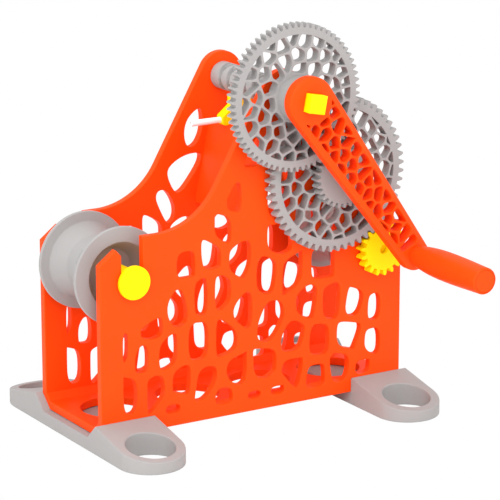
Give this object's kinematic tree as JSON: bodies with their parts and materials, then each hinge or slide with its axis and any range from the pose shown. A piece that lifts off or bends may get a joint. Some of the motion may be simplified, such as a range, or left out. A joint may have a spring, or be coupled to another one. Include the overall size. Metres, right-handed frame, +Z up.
{
  "type": "filament spool winder",
  "caption": "Hand-cranked winder that moves printer filament from one spool to another, with a cell-webbed frame, a two-stage gear train and a reversing screw that lays the filament.",
  "frame": {"origin": "middle of the left foot's underside, on the bench", "axes": "+X along the frame from the supply spindle to the take-up spindle, +Y across the frame away from the crank, +Z up"},
  "size_m": [0.2701, 0.2701, 0.2919],
  "materials": {
    "orange_plastic": "satin orange moulded plastic",
    "grey_plastic": "satin light grey plastic",
    "yellow_plastic": "satin yellow plastic",
    "white_tube": "smooth white tube"
  },
  "bodies": {
    "frame": {"near_side_wall": "orange_plastic", "far_side_wall": "orange_plastic", "floor_pan": "orange_plastic", "cross_web": "orange_plastic", "left_foot": "grey_plastic", "right_foot": "grey_plastic", "intermediate_axle": "grey_plastic", "axle_nut": "grey_plastic"},
    "crank": {"drive_shaft": "yellow_plastic", "drive_shaft_collar": "yellow_plastic", "crank_gear": "grey_plastic", "traverse_screw": "grey_plastic", "crank_arm": "orange_plastic", "handle_pin": "orange_plastic", "handle_nut": "grey_plastic"},
    "grip": {"handle_grip": "orange_plastic"},
    "intermediate": {"intermediate_gear": "grey_plastic", "intermediate_pinion": "grey_plastic"},
    "take_up": {"output_pinion": "yellow_plastic", "take_up_shaft": "yellow_plastic", "take_up_collar": "yellow_plastic"},
    "near_take_up_cone": {"near_drive_cone": "grey_plastic"},
    "far_take_up_cone": {"far_drive_cone": "grey_plastic"},
    "supply": {"supply_shaft": "yellow_plastic", "supply_end_disc": "yellow_plastic"},
    "near_cone": {"near_supply_cone": "grey_plastic"},
    "far_cone": {"far_supply_cone": "grey_plastic"},
    "guide": {"filament_guide": "yellow_plastic", "guide_tube": "white_tube", "groove_follower": "grey_plastic"}
  },
  "joints": [
    {"name": "crank_spin", "type": "hinge", "parent": "frame", "child": "crank", "pos_m": [0.12972, 0, 0.239], "axis": [0, 1, 0], "continuous": true},
    {"name": "grip_spin", "type": "hinge", "parent": "crank", "child": "grip", "pos_m": [0.21924, 0, 0.11802], "axis": [0, 1, 0], "continuous": true},
    {"name": "intermediate_spin", "type": "hinge", "parent": "frame", "child": "intermediate", "pos_m": [0.17034, 0, 0.1781], "axis": [0, 1, 0], "continuous": true},
    {"name": "take_up_spin", "type": "hinge", "parent": "frame", "child": "take_up", "pos_m": [0.21095, 0, 0.1172], "axis": [0, 1, 0], "continuous": true},
    {"name": "supply_spin", "type": "hinge", "parent": "frame", "child": "supply", "pos_m": [0.00725, 0, 0.12], "axis": [0, 1, 0], "continuous": true},
    {"name": "near_supply_cone_slide", "type": "slide", "parent": "supply", "child": "near_cone", "axis": [0, -1, 0], "range_m": [0, 0.011]},
    {"name": "far_supply_cone_slide", "type": "slide", "parent": "supply", "child": "far_cone", "axis": [0, 1, 0], "range_m": [0, 0.011]},
    {"name": "near_drive_cone_slide", "type": "slide", "parent": "take_up", "child": "near_take_up_cone", "axis": [0, -1, 0], "range_m": [0, 0.011]},
    {"name": "far_drive_cone_slide", "type": "slide", "parent": "take_up", "child": "far_take_up_cone", "axis": [0, 1, 0], "range_m": [0, 0.011]},
    {"name": "guide_slide", "type": "slide", "parent": "frame", "child": "guide", "axis": [0, 1, 0], "range_m": [-0.044, 0.014]}
  ],
  "couplings": [
    {"joint": "intermediate_spin", "follows": "crank_spin", "ratio": -2.3571},
    {"joint": "take_up_spin", "follows": "crank_spin", "ratio": 7.2024}
  ]
}
